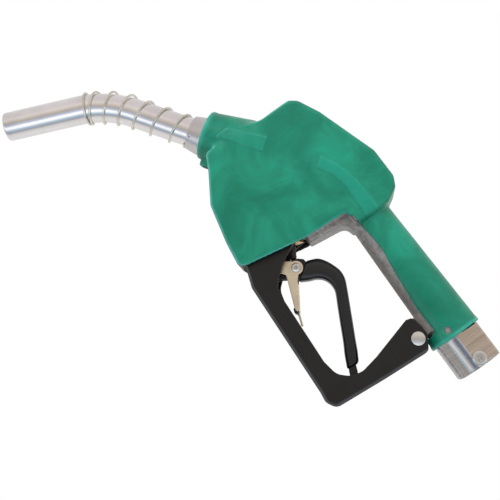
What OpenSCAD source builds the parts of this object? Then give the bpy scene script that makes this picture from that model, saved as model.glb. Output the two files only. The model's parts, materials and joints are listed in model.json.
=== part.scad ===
// Automatic shut-off fuel nozzle for a 3/4 in hose, with a two-piece trigger,
// a hold-open clip, a pressed trigger guard, a moulded hand insulator and a
// wire-wound spout.
// Frame: the origin is the centre of the hose inlet's mouth, +X runs out of
// the inlet along the handle, +Z points away from the trigger, Y is the width.

/* [Spout] */
// outside diameter of the spout tube
spout_d = 23.8; // [22:0.1:24]
// wall thickness of the spout tube
spout_wall = 1.2; // [1:0.1:1.6]
// straight run of the spout beyond its bend
spout_reach = 62.8; // [50:0.2:76]
// angle turned by the spout's bend
spout_bend = 32.3; // [26:0.1:36]
// radius of the bend on the tube's centreline
bend_r = 90; // [80:1:98]
// diameter of the wire wound round the spout
wire_d = 1.9; // [1.4:0.1:2.2]
// turns of wire on the spout
wire_turns = 7.1; // [5:0.2:7.1]

/* [Body] */
// half the width of the cast body
body_half = 19.8; // [19.4:0.1:20]
// thickness of the moulded hand insulator
cover_t = 3; // [2.6:0.1:3.2]
// bore of the casting's fuel passages
passage_d = 20; // [17:0.5:20]
// tapping bore of the hose inlet
inlet_d = 24.4; // [23:0.1:25]
// outside diameter of the hose inlet's boss
inlet_boss_d = 35.2; // [34:0.1:36]

/* [Guard and trigger] */
// width of the pressed guard over its two side plates
guard_w = 32; // [30:0.5:33]
// thickness of the guard's sheet
guard_t = 3; // [2:0.1:3]
// width of the trigger's moulded sleeve
sleeve_w = 15; // [13:0.5:15.5]
// height of the trigger's moulded sleeve
sleeve_h = 10.4; // [9:0.2:11]
// thickness of the hold-open clip's sheet
clip_t = 1.5; // [1.2:0.1:1.6]

/* [Valve] */
// diameter of the main valve's stem
stem_d = 6; // [5:0.1:6.5]
// diameter of the plunger rod the trigger hinges on
plunger_d = 10; // [9:0.1:10.5]
// diameter of the trigger's hinge pin
hinge_d = 5; // [4:0.1:5.5]

/* [Hidden] */
$fn = 48;
run_fit = 0.05;
gap = 0.2;
// directions are angles in the X-Z plane, measured from +X towards +Z
spout_in_a = 34.05;
spout_out_a = spout_in_a + spout_bend;
valve_a = -30;
latch_a = -7;
mouth = [-270.5, -65.8];
nut_face = [-160, -61.5];
fulcrum = [-150, -90];
rivet_at = [-141, -70];
guard_pin = [-43, -27];
spout_r = spout_d / 2;
// the inner straight is long enough to keep the bend's corner in one place
corner_run = 92.2;
tangent = bend_r * tan(spout_bend / 2);
s1 = corner_run - tangent;
s2 = s1 + bend_r * spout_bend * PI / 180;
s3 = s2 + spout_reach;
guard_in = guard_w / 2 - guard_t;
neck_half = guard_in - gap;
tongue_w = 5;
// where round the collar the wire's end is hooked in
hook_a = -115;

function dir(a) = [cos(a), sin(a)];
function at(p, a, d) = p + d * dir(a);
// a point on the spout's centreline, d beyond the mouth, and the line's angle
bend_start = at(mouth, 180 + spout_in_a, s1);
bend_mid = at(bend_start, spout_in_a - 90, bend_r);
bend_end = at(bend_mid, spout_in_a + 90 + spout_bend, bend_r);
function line_a(d) = d < s1 ? spout_in_a : d > s2 ? spout_out_a
    : spout_in_a + (d - s1) / bend_r * 180 / PI;
function line_p(d) = d < s1 ? at(mouth, 180 + spout_in_a, d)
    : d > s2 ? at(bend_end, 180 + spout_out_a, d - s2)
    : at(bend_mid, line_a(d) + 90, bend_r);

// profile in X-Z, extruded over the width between -h and h
module slab(h) {
    rotate([90, 0, 0])
        linear_extrude(2 * h, center = true)
            children();
}
// the same between y0 and y1
module layer(y0, y1) {
    translate([0, y1, 0])
        rotate([90, 0, 0])
            linear_extrude(y1 - y0)
                children();
}
// place children with their +Z along angle a of the X-Z plane
module aim(p, a) {
    translate([p[0], 0, p[1]])
        rotate([0, 90 - a, 0])
            children();
}
// round bar from p to q
module bar(p, q, r, r2 = -1) {
    d = q - p;
    aim(p, atan2(d[1], d[0]))
        cylinder(h = norm(d), r1 = r, r2 = r2 < 0 ? r : r2);
}
// pin across the width at p
module cross(p, r, h) {
    translate([p[0], 0, p[1]])
        rotate([90, 0, 0])
            cylinder(h = h, r = r, center = true);
}
module ring(r1, r2, h) {
    difference() {
        cylinder(h = h, r = r1);
        translate([0, 0, -1])
            cylinder(h = h + 2, r = r2);
    }
}
module torus(r, w) {
    rotate_extrude()
        translate([r, 0])
            circle(r = w);
}
// hexagonal head w across its flats, the corners just broken
module hex(w, h) {
    intersection() {
        cylinder(h = h, r = w / 2 / cos(30), $fn = 6);
        cylinder(h = h, r = w / 2 * 1.12);
    }
}
// tube swept along a list of [point, across, along] frames
module sweep(f, r, sides) {
    n = len(f);
    pts = [for (i = [0:n - 1]) for (k = [0:sides - 1])
        f[i][0] + r * (cos(360 * k / sides) * f[i][1] + sin(360 * k / sides) * f[i][2])];
    walls = [for (i = [0:n - 2]) for (k = [0:sides - 1])
        [i * sides + k, i * sides + (k + 1) % sides,
         (i + 1) * sides + (k + 1) % sides, (i + 1) * sides + k]];
    first = [for (k = [sides - 1:-1:0]) k];
    last = [for (k = [0:sides - 1]) (n - 1) * sides + k];
    tris = [for (w = walls) each [[w[0], w[1], w[2]], [w[0], w[2], w[3]]]];
    polyhedron(points = pts, faces = concat(tris, [first], [last]));
}
// coil spring of height h along +Z
module coil(r, wire, h, turns) {
    steps = 12;
    n = turns * steps;
    f = [for (i = [0:n]) let (t = 360 * i / steps)
        [[r * cos(t), r * sin(t), wire / 2 + (h - wire) * i / n],
         [cos(t), sin(t), 0], [0, 0, 1]]];
    mirror([0, 1, 0])
        sweep(f, wire / 2, 6);
}

// ---------------------------------------------------------------- outlines
module cover_2d() {
    offset(r = 4)
        offset(delta = -4)
            polygon([[-258, -40], [-252.4, -24], [-252.4, 1.5], [-247.5, 7.8], [-229.5, 16.3],
                [-179, 32], [-154, 32], [-146, 28], [-139.5, 17], [-138, 0], [-139.5, -15],
                [-150.8, -15.6], [-152.7, -52], [-161.7, -100.7], [-164.5, -106],
                [-187, -103.2], [-219, -96.4], [-243, -82], [-256, -76]]);
}
// part of the casting that stands out of the insulator towards the trigger
module neck_2d() {
    polygon([[-185, -12], [-137, -12], [-139, -16.3], [-143.6, -17.4], [-146.4, -19.6], [-147.9, -23],
        [-152.9, -62], [-158.6, -98.5], [-164, -101.5], [-187, -99]]);
}
module casting_2d(grow) {
    offset(delta = grow - cover_t - gap)
        cover_2d();
}
// nose of the body round the spout's root; top is how far its centre sits high
module nose(r1, r2, back, front) {
    aim(at(mouth, 90 + spout_in_a, 2.2), 180 + spout_in_a)
        translate([0, 0, -back])
            cylinder(h = back + front, r1 = r1, r2 = r2);
}
module handle_cone(r1, r2, x1, x2) {
    bar([x1, -1], [x2, -1], r1, r2);
}
module guard_2d() {
    difference() {
        offset(r = 7)
            offset(delta = -7)
                polygon([[-176, -99.5], [-176, -78], [-163, -62], [-75, -40], [-66, -12.5],
                    [-42, -12.5], [-31, -27], [-33, -66], [-36, -106.5], [-44, -111], [-52, -110],
                    [-147, -107.2], [-158, -103.5]]);
        guard_window_2d();
    }
}
// the trigger's opening in the guard, its corners well rounded
module guard_window_2d() {
    offset(r = 11)
        offset(delta = -11)
            polygon([[-185, -33.6], [-137, -90], [-128, -92.2], [-70, -94.4], [-56.5, -92],
                [-49.5, -84.5], [-47, -75], [-49.9, -60], [-63.6, -12], [-63.6, 0], [-185, 0]]);
}
// its side plates: rounded, with square tabs up the body's back and a cropped rear end
module guard_side_2d() {
    difference() {
        guard_2d();
        polygon([[-80, -26], [-59.4, -26], [-58.6, -22.6], [-56.6, -20.6], [-50, -19.4], [-42, -19],
            [-31, -26.2], [-20, -26.2], [-20, 0], [-80, 0]]);
    }
    offset(r = 1)
        offset(delta = -1)
            polygon([[-163, -50.2], [-157.2, -50.2], [-156.7, -60.8], [-148.6, -76.3], [-154, -84],
                [-168, -84], [-163, -66]]);
}

// ------------------------------------------------------------------ body
module body_casting() {
    color([0.60, 0.59, 0.57])
        difference() {
            union() {
                slab(body_half)
                    casting_2d(0);
                slab(neck_half)
                    neck_2d();
                slab(neck_half - 1.2)
                    offset(delta = 1)
                        neck_2d();
                nose(20.4, 17, 32, -2);
                handle_cone(15.5, 18.3, -150, -30);
                bar([-32, 0], [0, 0], inlet_boss_d / 2);
                // flat pads on the inlet boss
                translate([-28.4, -inlet_boss_d / 2 - 0.3, -3.5])
                    cube([27.6, inlet_boss_d + 0.6, 18.4]);
                // rib along the boss
                translate([-28.4, -8, -18.7])
                    cube([27.6, 16, 4]);
                // lug the guard's rear end is pinned to
                layer(-guard_in + gap, guard_in - gap)
                    polygon([[-60, -10], [-56, -24], [-50, -32], [-40, -34], [-37, -31],
                        [-37.6, -25.2], [-41, -20], [-43, -10]]);
            }
            casting_bores();
            guard_pockets();
        }
}
module casting_bores() {
    r = passage_d / 2;
    // hose thread, strainer seat and handle passage
    bar([-18, 0], [1, 0], inlet_d / 2);
    bar([-40, -0.5], [-17, -0.5], 11.2);
    bar([-158, -1], [-38, -1], r);
    // passage to the chamber above the main valve
    bar([-158, -1], [-200, 1], r);
    aim([-158, -1], 0)
        sphere(r = r + 0.5);
    aim([-200, 1], 0)
        sphere(r = r + 0.5);
    bar([-200, 1], [-216, -32], r - 0.4);
    // passage from below the main valve to the spout
    bar([-184, -47], [-224, -58.8], 7.5);
    aim([-224, -58.8], 0)
        sphere(r = 8.1);
    bar([-224, -58.8], [-262, -59.5], 7.5);
    aim(mouth, 180 + spout_in_a) {
        translate([0, 0, -17.5])
            cylinder(h = 40, r = 14);
    }
    aim(nut_face, valve_a) {
        // gland thread, stem guide and the chamber below the seat
        translate([0, 0, -10])
            cylinder(h = 30, r = 7.6);
        translate([0, 0, -5])
            cylinder(h = 30, r = 10.6);
        translate([0, 0, -14])
            cylinder(h = 10, r = stem_d / 2 + 0.4);
        translate([0, 0, -42])
            cylinder(h = 29, r = 11);
        // seat counterbore, valve chamber and the opening its cap closes
        translate([0, 0, -46])
            cylinder(h = 4.2, r = 13.2);
        translate([0, 0, -84])
            cylinder(h = 38.2, r = 14.6);
        translate([0, 0, -110])
            cylinder(h = 26.1, r = 16);
    }
    aim(fulcrum, latch_a) {
        translate([0, 0, -27])
            cylinder(h = 30, r = 9);
        translate([0, 0, -34])
            cylinder(h = 10, r = 6 + run_fit);
        // groove the latch balls stand in
        translate([0, 0, -31.5])
            cylinder(h = 6, r = 7.4);
        translate([0, 0, -90])
            cylinder(h = 56.1, r = 11);
    }
    // pocket for the trigger's front end
    slab(25)
        polygon([[-159, -49.6], [-159, -77], [-157.8, -78], [-157.8, -120], [-120, -120], [-120, -49.6]]);
    translate([-160.2, -10.4, -79])
        cube([40, 20.8, 29]);
    cross(guard_pin, 4, 60);
    // tapped holes for the guard's front screws
    cross([-171, -84], 2.1, 60);
    // tapped hole on the inlet pad
    translate([-6, -10, 0.5])
        rotate([90, 0, 0])
            cylinder(h = 20, r = 2.6);
    // spout set screw
    aim(at(mouth, 180 + spout_in_a, -6), spout_in_a - 90)
        cylinder(h = 30, r = 2.5);
}
module guard_pockets() {
    for (s = [-1, 1])
        translate([0, s * (guard_in - gap + 10), 0])
            slab(10)
                polygon([[-177, -120], [-177, -76], [-163.4, -62], [-163.4, -49.6], [-120, -49.6],
                    [-120, -120]]);
}
module cover_body(grow) {
    // three steps round the insulator's long edges
    slab(body_half + gap + cover_t + min(grow, 0))
        offset(delta = -2.6 + grow)
            cover_2d();
    slab(body_half + gap + cover_t - 1.2 + min(grow, 0))
        offset(delta = -0.9 + grow)
            cover_2d();
    slab(body_half + gap + cover_t - 3 + min(grow, 0))
        offset(delta = grow)
            cover_2d();
}
// the insulator's outside, before it is hollowed
module insulator_blank() {
    cover_body(0);
    nose(24.6, 19.4, 34, 3);
    // fills the corner between the nose and the body's front
    nose(22.4, 22.4, 40, -30);
    // rolled lip round the mouth
    aim(at(mouth, 90 + spout_in_a, 2.2), 180 + spout_in_a)
        translate([0, 0, 0.4])
            cylinder(h = 3.4, r = 20.2);
    // boss over the spout's set screw
    aim(at(mouth, 180 + spout_in_a, -6), spout_in_a - 90)
        translate([0, 0, 15])
            cylinder(h = 8.6, r = 6);
    handle_cone(18.2, 20.8, -146, -28.6);
    // lip at the inlet end
    bar([-31.6, -1], [-28.6, -1], 21.2);
}
// with its fixing hole and the way to the spout's set screw
module insulator_drilled() {
    difference() {
        insulator_blank();
        translate([-35.6, -10, -6])
            rotate([90, 0, 0])
                cylinder(h = 30, r = 2.6);
        aim(at(mouth, 180 + spout_in_a, -6), spout_in_a - 90)
            translate([0, 0, 12])
                cylinder(h = 20, r = 2.8);
    }
}
// with room for the body of the casting, and open towards the trigger
module insulator_shell() {
    difference() {
        insulator_drilled();
        slab(body_half + gap) {
            casting_2d(gap);
            polygon([[-167.2, -95], [-167.2, -125], [-120, -125], [-120, -12], [-160, -12], [-160, -52]]);
        }
    }
}
// with room for the casting's nose and the spout's collar
module insulator_nosed() {
    difference() {
        difference() {
            insulator_shell();
            nose(20.8, 17.2, 34, -1.8);
        }
        aim(mouth, 180 + spout_in_a)
            translate([0, 0, -4])
                cylinder(h = 20, r = 16.4);
    }
}
// with room for the handle and the inlet boss
module insulator_sleeved() {
    difference() {
        difference() {
            insulator_nosed();
            handle_cone(15.7, 18.8, -150, -28);
        }
        bar([-34, 0], [-20, 0], inlet_boss_d / 2 + gap);
    }
}
// with the handle's finger side left bare and a way out for the guard
module insulator_cut() {
    difference() {
        difference() {
            insulator_sleeved();
            slab(40)
                polygon([[-147, -60], [-147.5, -11.8], [-126, -9.5], [-114, -8.8], [-98, -11],
                    [-79, -13], [-61, -14.6], [-40, -13.6], [-39.6, -26], [-20, -26], [-20, -60]]);
        }
        translate([-166, -guard_w / 2 - gap, -125])
            cube([40, guard_w + 2 * gap, 60]);
    }
}
module hand_insulator() {
    color([0.10, 0.40, 0.30])
        difference() {
            insulator_cut();
            // relief round the inlet boss's flat pads and the guard's lug
            translate([-28.4, -40, -30])
                cube([30, 80, 60]);
            layer(-guard_in, guard_in)
                polygon([[-61, -9], [-57, -25], [-39, -25], [-39, -9]]);
        }
}
module inlet_screw() {
    color([0.75, 0.75, 0.74])
        translate([-6, -inlet_boss_d / 2 - 0.3, 0.5])
            rotate([90, 0, 0])
                difference() {
                    union() {
                        cylinder(h = 1.6, r = 5.5);
                        translate([0, 0, 1.6])
                            cylinder(h = 1.2, r1 = 5.5, r2 = 4);
                        translate([0, 0, -4.6])
                            cylinder(h = 4.7, r = 2.5);
                    }
                    // cross recess
                    for (a = [0, 90])
                        rotate([0, 0, a + 20])
                            translate([-2.6, -0.6, 0.9])
                                cube([5.2, 1.2, 4]);
                }
}
module inlet_strainer() {
    color([0.72, 0.72, 0.70])
        aim([-39, -0.5], 0)
            difference() {
                union() {
                    cylinder(h = 19, r = 8.6);
                    translate([0, 0, 17])
                        cylinder(h = 2, r = 11);
                }
                translate([0, 0, 0.8])
                    cylinder(h = 20, r = 7.8);
                // slots in the strainer's wall
                for (a = [0:45:315])
                    rotate([0, 0, a])
                        translate([5, -0.9, 3])
                            cube([5, 1.8, 11]);
            }
}

// ------------------------------------------------------------------ spout
module spout_bushing() {
    color([0.72, 0.72, 0.74])
        aim(mouth, 180 + spout_in_a)
            difference() {
                union() {
                    translate([0, 0, -13.8])
                        cylinder(h = 14, r = 13.9);
                    cylinder(h = 5, r = 16.1);
                    translate([0, 0, 4.9])
                        cylinder(h = 10.8, r1 = 16.1, r2 = 14);
                }
                // socket for the spout tube
                translate([0, 0, 3.4])
                    cylinder(h = 20, r = spout_r + run_fit);
                // check valve's chamber
                translate([0, 0, -14.8])
                    cylinder(h = 14, r = 10.6);
                // guide for its stem and three flow ports
                translate([0, 0, -5])
                    cylinder(h = 12, r = 2 + run_fit);
                for (a = [0:120:240])
                    rotate([0, 0, a])
                        translate([6, 0, -5])
                            cylinder(h = 12, r = 3.1);
                // seal groove
                translate([0, 0, -11])
                    ring(15, 12.1, 2.2);
                // hole the wire's end is hooked into
                rotate([0, 0, hook_a])
                    translate([12.6, 0, 13])
                        rotate([0, 90, 0])
                            cylinder(h = 4, r = 1.3);
                // seat of the set screw
                translate([0, 0, -6])
                    rotate([0, -90, 0])
                        translate([0, 0, 12])
                            cylinder(h = 4, r = 2.4);
            }
}
module bushing_o_ring() {
    color([0.05, 0.05, 0.05])
        aim(mouth, 180 + spout_in_a)
            translate([0, 0, -9.9])
                torus(13.06, 0.9);
}
module spout_set_screw() {
    color([0.6, 0.6, 0.6])
        aim(at(mouth, 180 + spout_in_a, -6), spout_in_a - 90)
            difference() {
                translate([0, 0, 14.1])
                    cylinder(h = 5.4, r = 2.4);
                translate([0, 0, 17])
                    cylinder(h = 5, r = 1.25, $fn = 6);
            }
}
// bent bar of radius r, off the centreline by e, from d0 to d1; its straights
// stand a hair proud of the bend and run into it, so that the three join
module bent_bar(r, e, d0, d1) {
    lap = 1;
    proud = r + 0.02;
    aim(mouth, 180 + spout_in_a)
        translate([e, 0, d0])
            cylinder(h = s1 - d0 + lap, r = proud);
    translate([bend_mid[0], 0, bend_mid[1]])
        rotate([90, 0, 0])
            rotate([0, 0, spout_in_a + 90])
                rotate_extrude(angle = spout_bend)
                    translate([bend_r + e, 0])
                        circle(r = r);
    aim(bend_end, 180 + spout_out_a)
        translate([e, 0, -lap])
            cylinder(h = d1 - s2 + lap, r = proud);
}
module bent_tube(r1, r2, e, d0, d1) {
    difference() {
        bent_bar(r1, e, d0, d1);
        bent_bar(r2, e, d0 - 1, d1 + 1);
    }
}
module spout_tube() {
    ri = spout_r - spout_wall;
    color([0.80, 0.80, 0.82])
        difference() {
            union() {
                bent_bar(spout_r, 0, 3.6, s3 - 2.4);
                // edge turned in at the tip
                aim(line_p(s3 - 2.4), 180 + spout_out_a)
                    cylinder(h = 2.4, r1 = spout_r, r2 = spout_r - 0.8);
            }
            bent_bar(ri, 0, 2, s3 + 2);
            // sensing port near the tip, on the side away from the handle
            aim(line_p(s3 - 16), spout_out_a - 90)
                translate([0, 0, spout_r - 3])
                    cylinder(h = 6, r = 1.6);
        }
}
module vent_tube() {
    color([0.70, 0.55, 0.35])
        bent_tube(2.3, 1.5, -spout_r + spout_wall + 2.6, 8, s3 - 22);
}
module spout_wire() {
    steps = 18;
    n = wire_turns * steps;
    // the two outermost turns close up, and the last one runs in to the collar
    f = [for (i = [0:n]) let (
            k = i / steps - 0.5,
            d = k < 1 ? 108.43 - 2.1 * k - 6.33 * k * k
                : k < 6 ? 100 - 12.6 * (k - 1) - 0.58 * (k - 1) * (k - 1)
                : 22.5 - 11.5 * (k - 6) + 3.6 * (k - 6) * (k - 6),
            a = line_a(d),
            c = line_p(d),
            t = 360 * k - 10,
            rr = spout_r + wire_d / 2 + 0.25,
            e = [-sin(a) * cos(t), sin(t), cos(a) * cos(t)],
            g = [-cos(a), 0, -sin(a)])
        [[c[0], 0, c[1]] + rr * e, e, g]];
    color([0.70, 0.70, 0.65])
        sweep(f, wire_d / 2, 8);
}
module check_seat() {
    color([0.75, 0.60, 0.30])
        aim(mouth, 180 + spout_in_a)
            translate([0, 0, -17.3])
                ring(13.8, 6.4, 3.3);
}
module check_poppet() {
    color([0.75, 0.60, 0.30])
        aim(mouth, 180 + spout_in_a) {
            translate([0, 0, -13.7])
                cylinder(h = 2.6, r = 8.4);
            translate([0, 0, -11.2])
                cylinder(h = 11, r = 2);
        }
}
module check_spring() {
    color([0.7, 0.7, 0.7])
        aim(mouth, 180 + spout_in_a)
            translate([0, 0, -11])
                coil(4.6, 0.9, 9.9, 4);
}

// -------------------------------------------------------------- main valve
module seat_ring() {
    color([0.75, 0.60, 0.30])
        aim(nut_face, valve_a)
            translate([0, 0, -45.9])
                ring(13, 9, 3.8);
}
module packing_nut() {
    color([0.78, 0.60, 0.30])
        aim(nut_face, valve_a)
            difference() {
                union() {
                    translate([0, 0, -9.6])
                        cylinder(h = 5, r = 7.4);
                    translate([0, 0, -4.8])
                        hex(17, 4.8);
                }
                translate([0, 0, -20])
                    cylinder(h = 30, r = stem_d / 2 + run_fit);
                translate([0, 0, -10])
                    cylinder(h = 3.6, r = 5);
            }
}
module stem_packing() {
    color([0.9, 0.9, 0.85])
        aim(nut_face, valve_a)
            translate([0, 0, -9.8])
                ring(4.9, stem_d / 2 + run_fit, 3.2);
}
module valve_stem() {
    color([0.80, 0.64, 0.34])
        aim(nut_face, valve_a) {
            translate([0, 0, -55])
                cylinder(h = 66, r = stem_d / 2);
            intersection() {
                translate([0, 0, 9.3])
                    sphere(r = 4);
                translate([0, 0, 10])
                    cylinder(h = 4, r = stem_d / 2);
            }
        }
}
module valve_disc() {
    color([0.08, 0.08, 0.08])
        aim(nut_face, valve_a)
            translate([0, 0, -48.8])
                ring(11.6, stem_d / 2 + 0.02, 2.7);
}
module valve_poppet() {
    color([0.75, 0.60, 0.30])
        aim(nut_face, valve_a)
            difference() {
                union() {
                    translate([0, 0, -52])
                        cylinder(h = 3.1, r = 12.6);
                    translate([0, 0, -57])
                        cylinder(h = 5.1, r = 5.2);
                }
                translate([0, 0, -55.1])
                    cylinder(h = 8, r = stem_d / 2 + 0.02);
            }
}
module poppet_spring() {
    color([0.7, 0.7, 0.7])
        aim(nut_face, valve_a)
            translate([0, 0, -83.9])
                coil(9.2, 1.8, 31.7, 6);
}
module valve_cap() {
    color([0.60, 0.60, 0.60])
        aim(nut_face, valve_a)
            difference() {
                union() {
                    translate([0, 0, -88])
                        cylinder(h = 3.9, r = 15.8);
                    translate([0, 0, -92])
                        hex(24, 4.1);
                }
                translate([0, 0, -85.4])
                    ring(15.9, 13.6, 3);
            }
}
module cap_o_ring() {
    color([0.05, 0.05, 0.05])
        aim(nut_face, valve_a)
            translate([0, 0, -84.8])
                torus(14.75, 0.55);
}

// -------------------------------------------------------- automatic latch
module plunger_gland() {
    color([0.75, 0.60, 0.30])
        aim(fulcrum, latch_a)
            difference() {
                translate([0, 0, -12.2])
                    ring(8.9, plunger_d / 2 + run_fit, 4.2);
                // holes for a pin spanner
                for (s = [-1, 1])
                    translate([0, s * 7, -10])
                        cylinder(h = 3, r = 0.9);
            }
}
module latch_plunger() {
    color([0.75, 0.75, 0.76])
        aim(fulcrum, latch_a)
            difference() {
                union() {
                    translate([0, 0, -25])
                        cylinder(h = 18.6, r = plunger_d / 2);
                    translate([0, 0, -27])
                        cylinder(h = 2.1, r = 8.4);
                    translate([0, 0, -33])
                        cylinder(h = 6.1, r = 6);
                    // flat tongue the trigger hinges on
                    translate([-4.4, -tongue_w / 2, -7])
                        cube([8.8, tongue_w, 7]);
                    rotate([90, 0, 0])
                        cylinder(h = tongue_w, r = 4.6, center = true);
                }
                rotate([90, 0, 0])
                    cylinder(h = 20, r = hinge_d / 2 + run_fit, center = true);
                translate([0, 0, -34])
                    cylinder(h = 10, r = 3.2 + run_fit);
                for (a = [0:120:240])
                    translate([0, 0, -29.5])
                        rotate([0, 90, a])
                            cylinder(h = 8, r = 1.7);
            }
}
module latch_balls() {
    color([0.8, 0.8, 0.8])
        aim(fulcrum, latch_a)
            for (a = [0:120:240])
                rotate([0, 0, a])
                    translate([5.2, 0, -29.5])
                        sphere(r = 1.6);
}
module latch_pin() {
    color([0.8, 0.8, 0.8])
        aim(fulcrum, latch_a) {
            translate([0, 0, -36])
                cylinder(h = 9, r = 3.2);
            translate([0, 0, -38.2])
                cylinder(h = 2.3, r = 6.6);
        }
}
module plunger_spring() {
    color([0.7, 0.7, 0.7])
        aim(fulcrum, latch_a)
            translate([0, 0, -24.9])
                coil(6.9, 1.1, 12.6, 4);
}
module diaphragm() {
    color([0.10, 0.10, 0.10])
        aim(fulcrum, latch_a)
            translate([0, 0, -39.4])
                ring(10.9, 2, 1.1);
}
module diaphragm_cap() {
    color([0.60, 0.60, 0.60])
        aim(fulcrum, latch_a)
            difference() {
                translate([0, 0, -54])
                    cylinder(h = 14.4, r = 10.8);
                translate([0, 0, -51.5])
                    cylinder(h = 14, r = 8.6);
                translate([0, 0, -55])
                    cylinder(h = 2.2, r = 4, $fn = 6);
            }
}
module diaphragm_spring() {
    color([0.7, 0.7, 0.7])
        aim(fulcrum, latch_a)
            translate([0, 0, -51.3])
                coil(5.2, 0.8, 11.6, 5);
}

// ---------------------------------------------------------------- trigger
// side view of the metal core, from its hinge to the end of the grip
module core_2d() {
    offset(r = 1)
        offset(delta = -1)
            polygon([[-154.4, -88], [-154.4, -92], [-151.4, -94.8], [-146.5, -94.8], [-142.2, -88.6],
                [-141.4, -85.6], [-138.4, -81], [-133.4, -75.4], [-131.6, -72.2], [-127.4, -61.8],
                [-121.2, -55.8], [-114.4, -54], [-105.4, -56.2], [-88.8, -65], [-58.4, -80.2],
                [-52.6, -83.2], [-47.5, -85.5], [-45.2, -80.4], [-49.3, -77.6], [-57, -74.7],
                [-104, -52.2], [-117.6, -47.4], [-124.4, -48.4], [-131, -51.6],
                [-136, -55.6], [-139.4, -60.4], [-143.7, -61.1], [-146.7, -64.5], [-149.6, -72],
                [-151.6, -80]]);
}
module lever_core() {
    color([0.10, 0.09, 0.09])
        difference() {
            union() {
                for (s = [-1, 1])
                    layer(s > 0 ? 3.2 : -5.4, s > 0 ? 5.4 : -3.2)
                        core_2d();
                // striker plate that pushes the valve's stem
                layer(-3.4, 3.4)
                    polygon([[-149.4, -71.8], [-146.8, -65], [-144.6, -65.9], [-147.2, -72.6]]);
                // web joining the two cheeks inside the sleeve
                layer(-3.4, 3.4)
                    polygon([[-119, -52.4], [-118, -49], [-104, -53.4], [-57, -75.8], [-49.6, -78.6],
                        [-46.6, -80.6], [-47.4, -82.4], [-58, -78], [-104, -56]]);
            }
            cross(fulcrum, hinge_d / 2 + run_fit, 30);
            cross(rivet_at, 3 + run_fit, 30);
        }
}
module sleeve_2d() {
    offset(r = 4)
        offset(delta = -4)
            polygon([[-142.4, -60], [-140.6, -56.6], [-137, -51.4], [-131.7, -47.4], [-125, -44.2],
                [-119.5, -42.8], [-113, -43.4], [-106, -46.4], [-84, -57.4], [-56, -71.5], [-53.4, -73.8],
                [-53.6, -81], [-57, -82.6], [-72, -74.6], [-89.5, -66], [-106, -57.2], [-114, -55.4],
                [-120, -56.8], [-126, -62.5], [-130.5, -72.5], [-135, -69.5]]);
}
module lever_sleeve() {
    color([0.06, 0.06, 0.07])
        difference() {
            union() {
                slab(sleeve_w / 2)
                    offset(delta = -1.6)
                        sleeve_2d();
                slab(sleeve_w / 2 - 1.6)
                    sleeve_2d();
            }
            // hollow moulded round the metal core
            layer(-5.5, 5.5)
                offset(delta = 0.1)
                    core_2d();
            // clear of the rivet and the clip's head
            cross(rivet_at, 9.4, 60);
        }
}
module lever_pin() {
    color([0.75, 0.75, 0.74])
        difference() {
            union() {
                cross(fulcrum, hinge_d / 2, 11.4);
                for (s = [-1, 1])
                    translate([0, s * 6, 0])
                        cross(fulcrum, hinge_d / 2 + 1.2, 1);
            }
            cross(fulcrum, 0.8, 30);
        }
}
module clip_rivet() {
    color([0.72, 0.70, 0.66])
        union() {
            cross(rivet_at, 3, 19.6);
            for (s = [-1, 1])
                translate([0, s * 10.2, 0])
                    cross(rivet_at, 3.6, 1.2);
        }
}

// --------------------------------------------------------- hold-open clip
module clip_2d() {
    offset(r = 0.6)
        offset(delta = -0.6) {
            translate(rivet_at)
                circle(r = 5.6);
            polygon([[-150.6, -74.3], [-148.1, -81.7], [-145.6, -84], [-141.2, -79.9], [-139.5, -80.1],
                [-114.5, -89.6], [-112.4, -89], [-112.6, -87], [-132, -74.7], [-136, -71],
                [-144.6, -66.6]]);
        }
}
module hold_open_clip() {
    color([0.74, 0.66, 0.56])
        difference() {
            union() {
                for (s = [-1, 1])
                    layer(s > 0 ? 8 : -8 - clip_t, s > 0 ? 8 + clip_t : -8)
                        clip_2d();
                // web joining the two cheeks
                layer(-8.2, 8.2)
                    polygon([[-131, -75.6], [-113, -87.1], [-113.8, -88.4], [-131.8, -76.9]]);
                // tongue that catches in the rack
                layer(-2.6, 2.6)
                    polygon([[-115, -85.8], [-112.2, -87.6], [-101.6, -91.4], [-102.1, -92.8],
                        [-113, -89], [-115.8, -87.1]]);
            }
            cross(rivet_at, 3 + run_fit, 30);
        }
}
module clip_tip() {
    color([0.05, 0.05, 0.05])
        difference() {
            layer(-7.9, 7.9)
                polygon([[-116.4, -88.7], [-113.7, -88.6], [-112.8, -87.3], [-111.4, -87.8],
                    [-110.6, -89.6], [-113.4, -91.2], [-116.2, -90.2]]);
            // slot round the clip's tongue
            layer(-2.7, 2.7)
                polygon([[-117, -84], [-117, -86.8], [-113.1, -89.2], [-108, -91.1], [-100, -84]]);
        }
}
module clip_spring() {
    color([0.7, 0.7, 0.7])
        translate([rivet_at[0], 5.7, rivet_at[1]])
            rotate([-90, 0, 0])
                coil(4.4, 0.7, 2.1, 2);
}

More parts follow.
